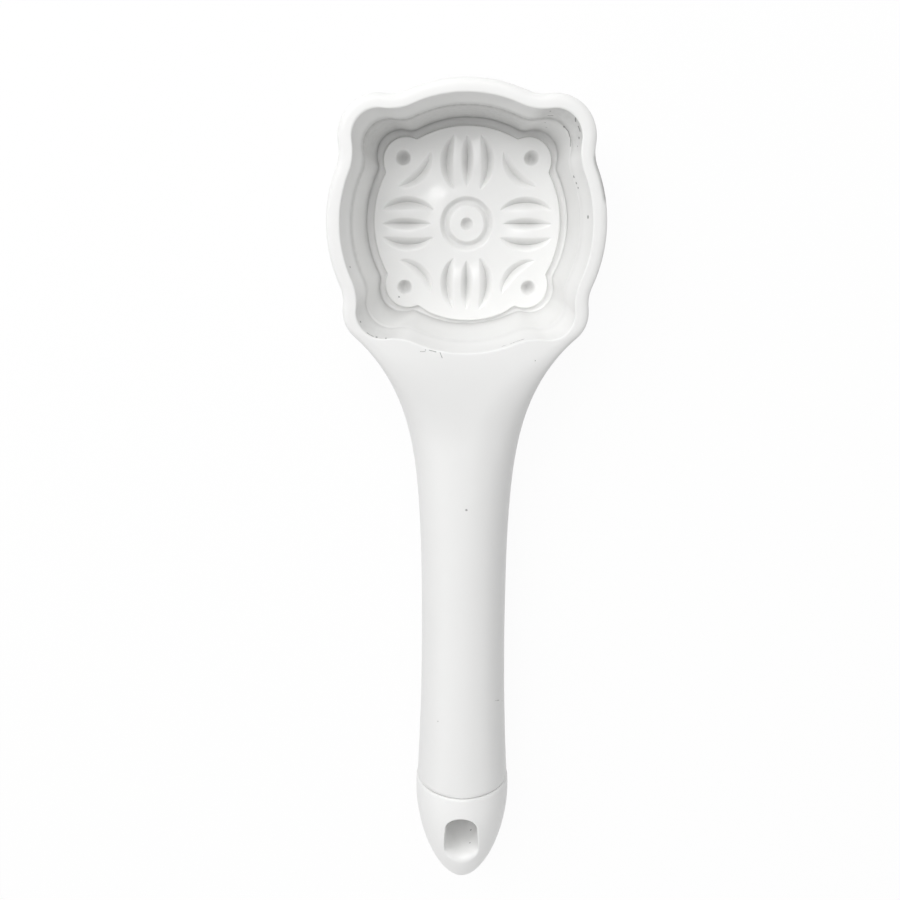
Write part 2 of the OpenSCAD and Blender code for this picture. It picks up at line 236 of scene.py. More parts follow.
# End of the handle and its hollow as (radius, s): flat end, lead-in, seat, step, hollow, round blind end
boreLine = [
    (handle["endR"] - handle["chamfer"], handle["seamAt"]), (seatR + handle["leadIn"], handle["seamAt"]),
    (seatR, handle["seamAt"] - handle["leadIn"]), (seatR, handle["seatFrom"]), (coreR, handle["seatFrom"]),
    (endCoreR, handle["coreEnd"] + handle["blindR"]),
    (endCoreR - handle["blindBevel"], handle["coreEnd"] + handle["blindBevel"]),
    (endCoreR - handle["blindR"], handle["coreEnd"]), (0.0, handle["coreEnd"]),
]
farOff = 99.0    # stands for no surface


# Height of the middle line: an eased fall from the rim to the top of the grip
def topOfNeck(s):
    b = bodyShape
    fall = smoothStep((s - b["crownFrom"]) / (b["crownTo"] - b["crownFrom"]))
    return mixed(head["rimZ"], handle["axisZ"] + gripRadius(s), fall)


# 0 where the top is flat, 1 where it is round
def roundness(s):
    b = bodyShape
    return smoothStep((s - b["roundFrom"]) / (b["roundTo"] - b["roundFrom"]))


# Height of the widest line: just under the rim on the head, on the axis along the grip
def widestZ(s):
    return topOfNeck(s) - mixed(bodyShape["rimEdgeH"], gripRadius(s), roundness(s))


# Underside: the bowl's superellipse from the rim's outline to the flat back, joined to the neck's half one
def undersideZ(x, y, startZ, inside):
    b = bodyShape
    angle, reach = np.arctan2(y, x), np.hypot(x, y)
    rim, back = outlineReach(head["rimOut"], angle), outlineReach(head["backOut"], angle)
    neckS = np.linspace(b["fanTo"], lobeAt, 200)
    neckW = halfWidth(neckS)
    neckAngle, neckReach = np.arctan2(-neckS, neckW), np.hypot(neckS, neckW)
    rim = np.minimum(rim, np.interp(angle, neckAngle, neckReach, left=farOff, right=farOff))
    t = (rim - reach) / (rim - back)
    inner = np.clip(1 - t, 0.0, 1.0) ** b["bowlPower"]
    bowl = startZ * (1 - (1 - inner) ** (1 / b["bowlPower"]))
    bowl = np.where(t < -1e-6, farOff, np.where(t > 1, 0.0, bowl))
    s = -y
    rise = smoothStep((b["bellyTo"] - s) / (b["bellyTo"] - b["bellyFrom"]))
    bottom = handle["axisZ"] - gripRadius(s) + b["bellyRise"] * rise
    power = mixed(2.0, b["neckPower"], rise)
    across = np.clip(x / halfWidth(np.maximum(s, 0.0)), 0.0, 1.0)
    neck = widestZ(s) - (widestZ(s) - bottom) * (1 - across ** power) ** (1 / power)
    neck = neck + b["neckLift"] * smoothStep((flareAt - s) / b["neckFade"])
    fillet = b["filletSize"] * np.clip(inside / b["filletSize"], 0.0, 1.0) + 1e-6
    return np.where(bowl >= farOff, neck, softLower(bowl, neck, fillet))


# Bell curve over the depth, 1 at the crease
def nearCrease(depth):
    return np.exp(-((depth - wall["creaseAt"]) / wall["creaseW"]) ** 2)


# Eased rise over the depth, 1 at the foot of the wall
def nearFoot(depth):
    return smoothStep((depth - wall["footFrom"]) / (wall["footAt"] - wall["footFrom"]))


# Dirt on two lobes, and painted shade on the far wall, in the far left's crease and foot and on a stretch of
# the rim's outer edge, none of it the same all round: full in the middle of each stretch, none at its ends
def strayDirtAndShade(points):
    w = wall
    angle, reach = np.arctan2(points[:, 1], points[:, 0]), np.hypot(points[:, 0], points[:, 1])
    depth = head["rimZ"] - points[:, 2]

    def stretch(at, half, ease):
        off = np.abs(np.mod(np.degrees(angle) - at + 180, 360) - 180)
        return smoothStep(ease * (1 - off / half))

    inwards = np.interp(depth, [corner[1] for corner in w["line"]], [corner[0] for corner in w["line"]])
    rimReach, footReach = outlineReach(head["rimIn"], angle), outlineReach(head["foot"], angle)
    wallReach = mixed(rimReach, footReach, inwards / head["wallIn"])
    inCup = (depth > w["lipDepth"]) & (depth < w["footAt"] + w["slack"]) & (reach < wallReach + w["slack"])
    upper = inCup & (depth < w["creaseAt"] + 0.1)
    total = w["farShade"] * (inCup & ~upper) * stretch(w["farAt"], w["farHalf"], 2)
    shady = w["shadyCrease"] * nearCrease(depth) + w["shadyFoot"] * nearFoot(depth)
    total = total + shady * inCup * stretch(w["shadyAt"], w["shadyHalf"], 3)
    for at, grimeAndShade in w["dirtyLobes"]:
        total = total + grimeAndShade * upper * stretch(at, w["lobeHalf"], 2)
    edge = smoothStep(1 - (outlineReach(head["rimOut"], angle) - reach) / w["edgeW"])
    edge = edge * (depth < w["edgeDepth"])
    return total + w["edgeShade"] * edge * stretch(w["edgeAt"], w["edgeHalf"], 3)


# Rows of points from the outline in to the middle line, for the top and the underside of one half, then the
# cup's wall and floor and the handle's hollow; the half is mirrored
def buildBody():
    b = bodyShape
    rimEdge = head["rimIn"] - (head["foot"] - head["rimIn"]) * b["innerEdgeR"] / head["wallIn"]
    leaveAngle = math.atan2(-lobeAt, lobeW)
    # rows run from the head's far end round its right side and down the neck to the seam
    headAngle = np.linspace(math.pi / 2, leaveAngle, b["headRows"])
    fanS = np.linspace(lobeAt, b["fanTo"], b["fanRows"] + 1)[1:]
    edgeS = handle["seamAt"] - handle["chamfer"]
    gripS = np.linspace(b["fanTo"], edgeS - b["seamDirtAndShadeW"], b["gripRows"])[1:]
    gripS = np.append(gripS, [edgeS, handle["seamAt"]])
    rowsLeft = np.arange(b["headRows"] + b["fanRows"] + len(gripS))[::-1, None]
    # painted shade and dirt on the last rows beside the seam
    seamDirtAndShade = b["seamDirtAndShade"] * (rowsLeft < 2)
    sideS = np.concatenate([fanS, gripS])
    sideW = halfWidth(sideS)
    sideW[-1] = handle["endR"] - handle["chamfer"]
    headOuter = np.stack([np.cos(headAngle), np.sin(headAngle)], 1)
    headOuter = outlineReach(head["rimOut"], headAngle)[:, None] * headOuter
    outer = np.concatenate([headOuter, np.stack([sideW, -sideS], 1)])
    # inner ends of the top's rows: the cup's edge, then the middle line
    cupAngle = np.concatenate([headAngle, np.linspace(leaveAngle, -math.pi / 2, b["fanRows"] + 1)[1:]])
    cupEdge = outlineReach(rimEdge, cupAngle)[:, None] * np.stack([np.cos(cupAngle), np.sin(cupAngle)], 1)
    cupEdge[[0, -1], 0] = 0.0
    lag = b["fanTo"] + cupEdge[-1, 1]
    middleS = gripS - lag * (1 - smoothStep((gripS - b["fanTo"]) / b["fanFade"]))
    innerTop = np.concatenate([cupEdge, np.stack([0 * middleS, -middleS], 1)])
    # inner ends of the underside's rows: all on the middle line
    lowS = np.concatenate([np.linspace(b["lowFrom"], b["lowTo"], b["headRows"]),
                           np.linspace(b["lowTo"], -cupEdge[-1, 1], b["fanRows"] + 1)[1:], middleS])
    innerLow = np.stack([0 * lowS, -lowS], 1)
    outer[0, 0] = 0.0
    tangent = np.gradient(outer, axis=0)
    normal = np.stack([tangent[:, 1], -tangent[:, 0]], 1) / np.hypot(tangent[:, 0], tangent[:, 1])[:, None]

    def rowsBetween(inner, cols):
        f = 1 - np.cos(np.linspace(0, math.pi / 2, cols))
        f[-1] = 1.0
        xy = outer[:, None, :] + (inner - outer)[:, None, :] * f[None, :, None]
        inside = np.abs(np.einsum("rci,ri->rc", xy - outer[:, None, :], normal))
        return xy, inside

    skin = Skin()
    s = -outer[:, 1]
    ease = roundness(s)
    roundW = mixed(b["rimEdgeW"], np.maximum(halfWidth(np.maximum(s, flareAt)), 1.0), ease)[:, None]
    roundH = mixed(b["rimEdgeH"], gripRadius(s), ease)[:, None]
    roundW[-1] = roundH[-1] = sideW[-1]
    xy, inside = rowsBetween(innerTop, b["topCols"])
    edge = np.clip(1 - inside / roundW, 0.0, 1.0)
    top = topOfNeck(-xy[..., 1])
    top[-1] = handle["axisZ"] + sideW[-1]
    z = top - roundH * (1 - np.sqrt(1 - edge ** 2))
    startZ = z[:, :1].copy()
    skin.grid(np.dstack([xy, z]), grimeAndShade=seamDirtAndShade)
    endTop = np.stack([xy[-1, :, 0], z[-1] - handle["axisZ"]], 1)

    xy, inside = rowsBetween(innerLow, b["lowCols"])
    z = undersideZ(xy[..., 0], xy[..., 1], startZ, inside)
    z[:, :1] = startZ
    z[-1] = handle["axisZ"] - np.sqrt(np.maximum(sideW[-1] ** 2 - xy[-1, :, 0] ** 2, 0.0))
    skin.grid(np.dstack([xy, z])[:, ::-1], grimeAndShade=seamDirtAndShade)
    endLow = np.stack([xy[-1, :, 0], z[-1] - handle["axisZ"]], 1)

    # cup's wall: the same rows, carried down the wall line
    edgeTurn = np.linspace(0, math.pi / 2, 6)
    lip = np.stack([-b["innerEdgeR"] * (1 - np.sin(edgeTurn)), b["innerEdgeR"] * (1 - np.cos(edgeTurn))], 1)
    line = np.concatenate([lip, roundedLine(wall["line"])[1:]])
    near = wall["creaseAt"] + wall["creaseW"] * np.linspace(-2, 2, 13)
    depth = np.unique(np.concatenate([line[:, 1], near, np.linspace(8, wall["footAt"] - 0.6, 10)]))
    inwards = np.interp(depth, line[:, 1], line[:, 0])
    inwards[:len(lip)] = lip[:, 0]
    tiers = [mixed(head["rimIn"], head["foot"], i / head["wallIn"]) for i in inwards]
    reach = np.stack([outlineReach(tier, cupAngle) for tier in tiers], 1)
    x, y = reach * np.cos(cupAngle)[:, None], reach * np.sin(cupAngle)[:, None]
    x[[0, -1]] = 0.0
    x[:, 0], y[:, 0] = cupEdge[:, 0], cupEdge[:, 1]
    # painted shade and dirt along the crease, painted shade at the foot of the wall
    dirtAndShade = wall["creaseDirtAndShade"] * nearCrease(depth) + wall["footShade"] * nearFoot(depth)
    skin.grid(np.dstack([x, y, np.broadcast_to(head["rimZ"] - depth, x.shape)]), grimeAndShade=dirtAndShade)
    # floor of the cup under the pattern plate
    share = np.array([1.0, 0.7, 0.0])
    x2, y2 = x[:, -1:] * share, y[:, -1:] * share
    skin.grid(np.dstack([x2, y2, np.full(x2.shape, head["rimZ"] - depth[-1])]))

    # flat end of the handle and its hollow, turned through the end's own angles
    ring = np.concatenate([endLow[::-1][:-1], endTop]) / sideW[-1]
    profile = np.array(boreLine)
    xyz = np.stack([ring[:, None, 0] * profile[None, :, 0],
                    np.broadcast_to(-profile[None, :, 1], (len(ring), len(profile))),
                    handle["axisZ"] + ring[:, None, 1] * profile[None, :, 0]], axis=-1)
    # painted shade and dirt on the end face's outer edge at the seam
    skin.grid(xyz, grimeAndShade=b["seamDirtAndShade"] * (np.arange(len(profile)) == 0))
    skin.mirrored(0)
    # adds the dirt on two lobes and the painted shade on the far wall, the far left's crease and foot and the
    # rim's edge
    skin.grimeAndShade = [grimeAndShade + strayDirtAndShade(points) for points, grimeAndShade in zip(skin.points, skin.grimeAndShade)]
    return skin.build("mouldBody")


# The pattern plate: an engraved floor with a moat round it

plateShape = dict(
    floorOut=np.array([24.42, 26.3, 15.7, 5.97, 0.9]), gap=0.05, lift=0.02, cells=264,
    snapShare=0.55, snapAlong=0.97, snapRing=0.99,    # which points move onto a groove's bottom line
    edgeR=0.4, moatFrom=0.05, moatTo=0.8, moatInR=0.3, moatOutR=0.5, footRise=0.45,   # edge and moat
    # floor reaches further to the handle
    nearStretch=0.038, lobeStretch=0.012, lobeFrom=9.5, lobeEase=4.0, stretchPower=4,
    ringR=5.72, ringHalf=1.3, ringDeep=1.35, ringPower=1.5,
    dotR=1.65, dotDeep=1.6, dotPower=1.1, cornerAt=16.45, cornerR=1.95, cornerDeep=2.2, cornerPower=1.2,
    petalFrom=8.7, petalTo=22.2, petalHalf=5.4, petalBow=2.0, sideIn=1.85, sideOut=1.6, sideDeep=1.95,
    spineFrom=9.4, spineTo=22.2, spineHalf=1.6, spineDeep=2.0, ridgeRise=0.6,
    arcMid=17.4, arcLen=12.2, arcBow=2.0, arcIn=1.6, arcOut=1.6, arcDeep=1.6,
    shoulder=1.2, runOut=0.75,
    # painted shade and dirt at the bottom of each groove and dot, painted shade in the moat, and the depth at
    # which the moat's is full
    grooveDirtAndShade=0.25, dotDirtAndShade=0.4, cornerDirtAndShade=0.5, moatShade=0.05, moatFull=1.5,
)


# Chip-carved groove: a V across, deepest half way along and running out at both ends
def chipGroove(across, along, widthIn, widthOut, deep):
    p = plateShape
    ends = np.clip(1 - along ** 2, 0.0, 1.0)
    width = np.where(across < 0, widthIn, widthOut) * ends ** p["runOut"] + 1e-9
    return deep * ends * np.clip(1 - np.abs(across) / width, 0.0, 1.0) ** p["shoulder"]


# Distance across an arc and share along it, from -1 to 1: the distance from the arc's centre less its radius,
# and the angle there over the half angle. The arc's middle is at (0, 0), and it bows towards +v.
def alongArc(u, v, length, bow):
    r = (length ** 2 / 4 + bow ** 2) / (2 * bow)
    across = np.hypot(u, v + r) - r
    return across, np.arctan2(u, v + r) / math.asin(length / 2 / r)


# The point in axes that are turned by an angle
def turnedXY(x, y, turn):
    c, s = math.cos(turn), math.sin(turn)
    return x * c + y * s, y * c - x * s


# Share by which the floor reaches further towards the handle: less at the corner lobes than between them
def nearShare(x, y):
    p = plateShape
    atLobe = smoothStep((np.abs(x) - p["lobeFrom"]) / p["lobeEase"])
    return (y < 0) * mixed(p["nearStretch"], p["lobeStretch"], atLobe)


# Every groove as (across, share along, width in, width out, depth)
def allGrooves(x, y):
    p = plateShape
    mid, length = (p["petalFrom"] + p["petalTo"]) / 2, p["petalTo"] - p["petalFrom"]
    spineMid, spineLen = (p["spineFrom"] + p["spineTo"]) / 2, p["spineTo"] - p["spineFrom"]
    for turn in range(4):
        u, v = turnedXY(x, y, turn * math.pi / 2)
        yield v, (u - spineMid) / (spineLen / 2), p["spineHalf"], p["spineHalf"], p["spineDeep"]
        for side in (1, -1):
            across, along = alongArc(u - mid, side * v - p["petalHalf"], length, p["petalBow"])
            yield across, np.where(u > 0, along, 9.0), p["sideIn"], p["sideOut"], p["sideDeep"]
        u, v = turnedXY(x, y, turn * math.pi / 2 + math.pi / 4)
        across, along = alongArc(v, p["arcMid"] - u, p["arcLen"], p["arcBow"])
        yield across, np.where(u > 0, along, 9.0), p["arcIn"], p["arcOut"], p["arcDeep"]


# Rise of the rounded ridges in each petal: highest half way between spine and side groove, none at either
def petalRidges(x, y):
    p = plateShape
    mid, length = (p["petalFrom"] + p["petalTo"]) / 2, p["petalTo"] - p["petalFrom"]
    rise = np.zeros_like(x)
    for turn in range(4):
        u, v = turnedXY(x, y, turn * math.pi / 2)
        across, along = alongArc(u - mid, np.abs(v) - p["petalHalf"], length, p["petalBow"])
        toSpine, toSide = np.abs(v), np.maximum(-across, 0.0)
        ridge = 4 * toSpine * toSide / (toSpine + toSide + 1e-9) ** 2
        rise = np.maximum(rise, p["ridgeRise"] * ridge * np.clip(1 - along ** 2, 0.0, 1.0) ** 2 * (u > 0))
    return rise


# Height of the engraved floor, and the painted shade and dirt at the bottom of its grooves and dots
def engraved(x, y):
    p = plateShape
    deep = np.zeros_like(x)
    for groove in allGrooves(x, y):
        deep = np.maximum(deep, chipGroove(*groove))
    reach = np.hypot(x, y)
    ring = np.clip(1 - ((reach - p["ringR"]) / p["ringHalf"]) ** 2, 0.0, 1.0) ** p["ringPower"]
    dot = np.clip(1 - (reach / p["dotR"]) ** 2, 0.0, 1.0) ** p["dotPower"]
    deep = np.maximum(np.maximum(deep, p["ringDeep"] * ring), p["dotDeep"] * dot)
    away = np.hypot(np.abs(x) - p["cornerAt"], np.abs(y) - p["cornerAt"])
    corner = np.clip(1 - (away / p["cornerR"]) ** 2, 0.0, 1.0) ** p["cornerPower"]
    # painted shade and dirt, deepest at the bottom of grooves and dots
    dirtAndShade = np.maximum(p["grooveDirtAndShade"] * smoothStep(deep / p["sideDeep"]),
                      np.maximum(p["dotDirtAndShade"] * dot, p["cornerDirtAndShade"] * corner))
    return head["floorZ"] + petalRidges(x, y) - np.maximum(deep, p["cornerDeep"] * corner), dirtAndShade


# Grid of heights for the floor, and a profile carried round its outline for the rest
def buildPlate():
    p = plateShape
    n = p["cells"]
    u, v = np.meshgrid(np.linspace(-1, 1, n + 1), np.linspace(-1, 1, n + 1))
    # a square grid spread over the lobed floor: square rings become scaled outlines
    ringShare, angle = np.maximum(np.abs(u), np.abs(v)), np.arctan2(v, u)
    reach = outlineReach(p["floorOut"], angle) - p["edgeR"]
    x, y = ringShare * reach * np.cos(angle), ringShare * reach * np.sin(angle)
    y = y * (1 + nearShare(x, y) * ringShare ** p["stretchPower"])
    # points near a groove's bottom line move onto it, so that the V stays crisp
    snap, eps = p["snapShare"] * 2 * p["floorOut"][0] / n, 0.01
    for k in range(len(list(allGrooves(x, y)))):
        across, along = list(allGrooves(x, y))[k][:2]
        right, up = list(allGrooves(x + eps, y))[k][0], list(allGrooves(x, y + eps))[k][0]
        near = (np.abs(across) < snap) & (np.abs(along) < p["snapAlong"]) & (ringShare < p["snapRing"])
        x, y = (np.where(near, x - across * (right - across) / eps, x),
                np.where(near, y - across * (up - across) / eps, y))
    skin = Skin()
    z, dirtAndShade = engraved(x, y)
    skin.grid(np.dstack([x, y, z]), grimeAndShade=dirtAndShade)
    # rim of the plate, from the floor's edge down into the moat, up at the wall and round to the underside
    loop = np.concatenate([angle[0, :-1], angle[:-1, -1], angle[-1, :0:-1], angle[:0:-1, 0]])
    floorReach, footReach = outlineReach(p["floorOut"], loop), outlineReach(head["foot"], loop) - p["gap"]
    moat = roundedLine([
        (0, head["floorZ"] - p["edgeR"], 0), (p["moatFrom"], head["moatZ"], p["moatInR"]),
        (p["moatTo"], head["moatZ"], p["moatOutR"]), (1.0, head["moatZ"] + p["footRise"], 0)])
    turn = np.linspace(0, math.pi / 2, 6)
    share = np.concatenate([np.zeros(6), moat[1:, 0], [1.0, 0.6, 0.0]])
    pull = np.concatenate([p["edgeR"] * (1 - np.sin(turn)), np.zeros(len(moat) + 2)])
    height = np.concatenate([head["floorZ"] - p["edgeR"] * (1 - np.cos(turn)), moat[1:, 1],
                             [head["bottomZ"] + p["lift"]] * 3])
    r = mixed(floorReach[:, None] - pull, footReach[:, None], share)
    r[:, -1] = 0.0
    x, y = r * np.cos(loop)[:, None], r * np.sin(loop)[:, None]
    stretch = 1 + nearShare(x, y) * (1 - share)
    stretch[:, -2:] = 1.0
    xyz = np.stack([x, y * stretch, np.broadcast_to(height, r.shape)], -1)
    # painted shade in the moat, full at its bottom
    skin.grid(xyz, closed=True, grimeAndShade=p["moatShade"] * smoothStep((head["floorZ"] - height) / p["moatFull"]))
    return skin.build("patternPlate")


# The end cap: a bullet of revolution with a hanging slot and a spigot

capShape = dict(
    edgeR=13.63, bellyR=13.83, belly=5.0, nose=31.8, nosePower=1.77, noseRoot=1.714, chamfer=0.4,
    slotW=9.3, slotLen=18.0, slotFrom=6.7,       # slot inside its rounded edges
    scoop=3.1, scoopDeep=8.5,                    # the slot's far end slopes in by the scoop
    slotEdge=0.55, edgeDeep=0.7,                 # rounding of the slot's other edges
    seamDirtAndShadeW=0.45, seamDirtAndShade=0.15,               # painted shade and dirt beside the seam
    spigotLen=16.0, spigotLead=0.8, spigotWall=2.0, hollowTo=3.0,
    across=72, along=72, cols=24, crowding=1.7,  # cells, and how they crowd towards the tip
    edgeCols=[0, 0.012], colsFrom=0.03,          # first columns stand close together beside the edge
    lipSteps=15, wallSteps=6,
)
spigotR = seatR - handle["spigotGap"]
hollowR = spigotR - capShape["spigotWall"]
spigotEnd = -capShape["spigotLen"]
# Seam face, spigot and its hollow as (radius, distance from the seam)
spigotLine = [
    (capShape["edgeR"] - capShape["chamfer"], 0.0), (spigotR, 0.0),
    (spigotR, spigotEnd + capShape["spigotLead"]), (spigotR - capShape["spigotLead"], spigotEnd),
    (hollowR, spigotEnd), (hollowR, capShape["hollowTo"]), (0.0, capShape["hollowTo"]),
]


# Radius of the cap at a distance from the seam: a slight swell, then a blunt bullet
def capRadius(t):
    c = capShape
    swell = c["bellyR"] - (c["bellyR"] - c["edgeR"]) * (1 - t / c["belly"]) ** 2
    u = np.clip((t - c["belly"]) / c["nose"], 0.0, 1.0)
    body = np.where(t < c["belly"], swell, c["bellyR"] * (1 - u ** c["nosePower"]) ** (1 / c["noseRoot"]))
    return body - np.clip(c["chamfer"] - t, 0.0, None)


# Long slot with round ends, from above: points (x, t) in the same order for any length, and their share of
# the far end (0 on the near arc, 1 on the far arc)
def slotOutline(length, arcSteps=160, sideSteps=60):
    c = capShape
    r = c["slotW"] / 2
    near, far = c["slotFrom"] + r, c["slotFrom"] + length - r
    side = np.linspace(0, 1, sideSteps)
    farArc = arcPoints(np.array([0, far]), r, 0, math.pi, arcSteps)
    nearArc = arcPoints(np.array([0, near]), r, math.pi, 2 * math.pi, arcSteps)
    down = np.stack([0 * side - r, mixed(far, near, side)], 1)
    up = np.stack([0 * side + r, mixed(near, far, side)], 1)
    points = np.concatenate([farArc[:-1], down[:-1], nearArc[:-1], up[:-1]])
    share = np.concatenate([np.ones(arcSteps - 1), 1 - side[:-1], np.zeros(arcSteps - 1), side[:-1]])
    return points, smoothStep(share)


# Upper half as a surface of revolution whose rows run from its edge to the slot's mouth, then the slot's lip
# and wall, then the spigot's profile turned round the axis; the half is mirrored
def buildCap():
    c = capShape
    tip = c["belly"] + c["nose"]

    def seamToTip(q):
        return tip * (1 - (1 - q) ** c["crowding"])

    def tipShare(t):
        return 1 - (1 - t / tip) ** (1 / c["crowding"])

    def height(x, t):
        return np.sqrt(np.maximum(capRadius(t) ** 2 - x ** 2, 0.0))

    # edge of the upper half over (q, turn): q from the seam to the tip, turn from the right side over the top
    turns, along = np.linspace(0, math.pi, c["across"] + 1), np.linspace(0, 1, c["along"] + 1)
    along = np.sort(np.append(along, tipShare(c["chamfer"])))
    edge = np.concatenate([
        np.stack([0 * turns[:-1], turns[:-1]], 1), np.stack([along[:-1], 0 * along[:-1] + math.pi], 1),
        np.stack([0 * turns[:-1] + 1, turns[::-1][:-1]], 1), np.stack([along[::-1][:-1], 0 * along[:-1]], 1)])
    # mouth of the slot, widened by its rounded edge, and the slot's wall further down
    mouth, far = slotOutline(c["slotLen"])
    slotWall = slotOutline(c["slotLen"] - c["scoop"])[0]
    out = np.stack([mouth[:, 1] - np.roll(mouth[:, 1], 1), np.roll(mouth[:, 0], 1) - mouth[:, 0]], 1)
    mouth = mouth + c["slotEdge"] * out / np.hypot(out[:, 0], out[:, 1])[:, None]
    midQ = tipShare(c["slotFrom"] + c["slotLen"] / 2)

    # direction round the slot's middle, the same for the edge's points and the slot's
    def aroundSlot(q, turn):
        return np.arctan2((q - midQ) * 2, math.pi / 2 - turn)

    mouthTurn = np.arccos(np.clip(mouth[:, 0] / capRadius(mouth[:, 1]), -1, 1))
    mouthAngle = aroundSlot(tipShare(mouth[:, 1]), mouthTurn)
    edgeAngle = aroundSlot(edge[:, 0], edge[:, 1])
    mouthX, mouthT, wallX, wallT, far = [
        np.interp(edgeAngle, mouthAngle, v, period=2 * math.pi)
        for v in (mouth[:, 0], mouth[:, 1], slotWall[:, 0], slotWall[:, 1], far)]
    # rows of the skin from the edge to the slot, on the surface of revolution
    f = np.concatenate([c["edgeCols"], np.linspace(c["colsFrom"], 1, c["cols"])])
    q = mixed(edge[:, :1], tipShare(mouthT)[:, None], f)
    turn = mixed(edge[:, 1:], np.arccos(np.clip(mouthX / capRadius(mouthT), -1, 1))[:, None], f)
    t = seamToTip(q)
    xyz = np.stack([capRadius(t) * np.cos(turn), -(handle["seamAt"] + t), capRadius(t) * np.sin(turn)], -1)
    side = (edge[:, 1] < 1e-9) | (edge[:, 1] > math.pi - 1e-9)
    xyz[side, 0, 2] = 0.0
    skin = Skin()
    # painted shade and dirt fading out from the seam
    skin.grid(xyz, closed=True, grimeAndShade=c["seamDirtAndShade"] * smoothStep(1 - t / c["seamDirtAndShadeW"]))
    # slot's lip: a curve that leaves along the cap's surface and ends down the wall, then the wall itself
    inX, inT = wallX - mouthX, wallT - mouthT
    startZ, eps = height(mouthX, mouthT), 0.02
    rise = (height(mouthX + eps * inX, mouthT + eps * inT) - startZ) / eps
    bendZ = startZ + rise
    endZ = bendZ - mixed(c["edgeDeep"], c["scoopDeep"], far)
    k = np.linspace(0, 1, c["lipSteps"])[1:]
    turnIn = 1 - (1 - k) ** 2
    lipX, lipT = mouthX[:, None] + inX[:, None] * turnIn, mouthT[:, None] + inT[:, None] * turnIn
    lipZ = (1 - k) ** 2 * startZ[:, None] + 2 * k * (1 - k) * bendZ[:, None] + k ** 2 * endZ[:, None]
    down = np.linspace(1, 0, c["wallSteps"] + 1)[1:]
    lipX = np.concatenate([mouthX[:, None], lipX, np.repeat(wallX[:, None], c["wallSteps"], 1)], 1)
    lipT = np.concatenate([mouthT[:, None], lipT, np.repeat(wallT[:, None], c["wallSteps"], 1)], 1)
    lipZ = np.concatenate([startZ[:, None], lipZ, endZ[:, None] * down], 1)
    skin.grid(np.stack([lipX, -(handle["seamAt"] + lipT), lipZ], -1), closed=True)
    # seam face and spigot, turned through the seam's own angles
    profile = np.array(spigotLine)
    ring = np.stack([np.cos(turns), np.sin(turns)], 1)
    ring[[0, -1], 1] = 0.0
    xyz = np.stack([ring[:, None, 0] * profile[None, :, 0],
                    np.broadcast_to(-(handle["seamAt"] + profile[None, :, 1]), (len(ring), len(profile))),
                    ring[:, None, 1] * profile[None, :, 0]], -1)
    # painted shade and dirt on the seam face's outer edge
    skin.grid(xyz, grimeAndShade=c["seamDirtAndShade"] * (np.arange(len(profile)) == 0))
    skin.mirrored(2)
    skin.points = [p + np.array([0, 0, handle["axisZ"]]) for p in skin.points]
    return skin.build("endCap")


print("building pieces")
body = buildBody()
plate = buildPlate()
cap = buildCap()
for piece, node, bodyName, slotName in (
        (body, "mould_body", "mould", "white_plastic"),
        (plate, "pattern_plate", "mould", "white_plastic_floor"),
        (cap, "end_cap", "cap", "white_plastic_cap")):
    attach(piece, bodyName)
    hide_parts(node)


# Materials

# sRGB hex colour to linear
def linear(hexColour):
    parts = [int(hexColour[i:i + 2], 16) / 255 for i in (1, 3, 5)]
    return [c / 12.92 if c <= 0.04045 else ((c + 0.055) / 1.055) ** 2.4 for c in parts] + [1.0]


# Adds a node, sets its properties and sockets and links sockets from other nodes
def addNode(tree, kind, settings=None, inputs=None, links=None):
    node = tree.nodes.new(kind)
    for key, value in (settings or {}).items():
        setattr(node, key, value)
    for key, value in (inputs or {}).items():
        node.inputs[key].default_value = value
    for key, (source, output) in (links or {}).items():
        tree.links.new(source.outputs[output], node.inputs[key])
    return node


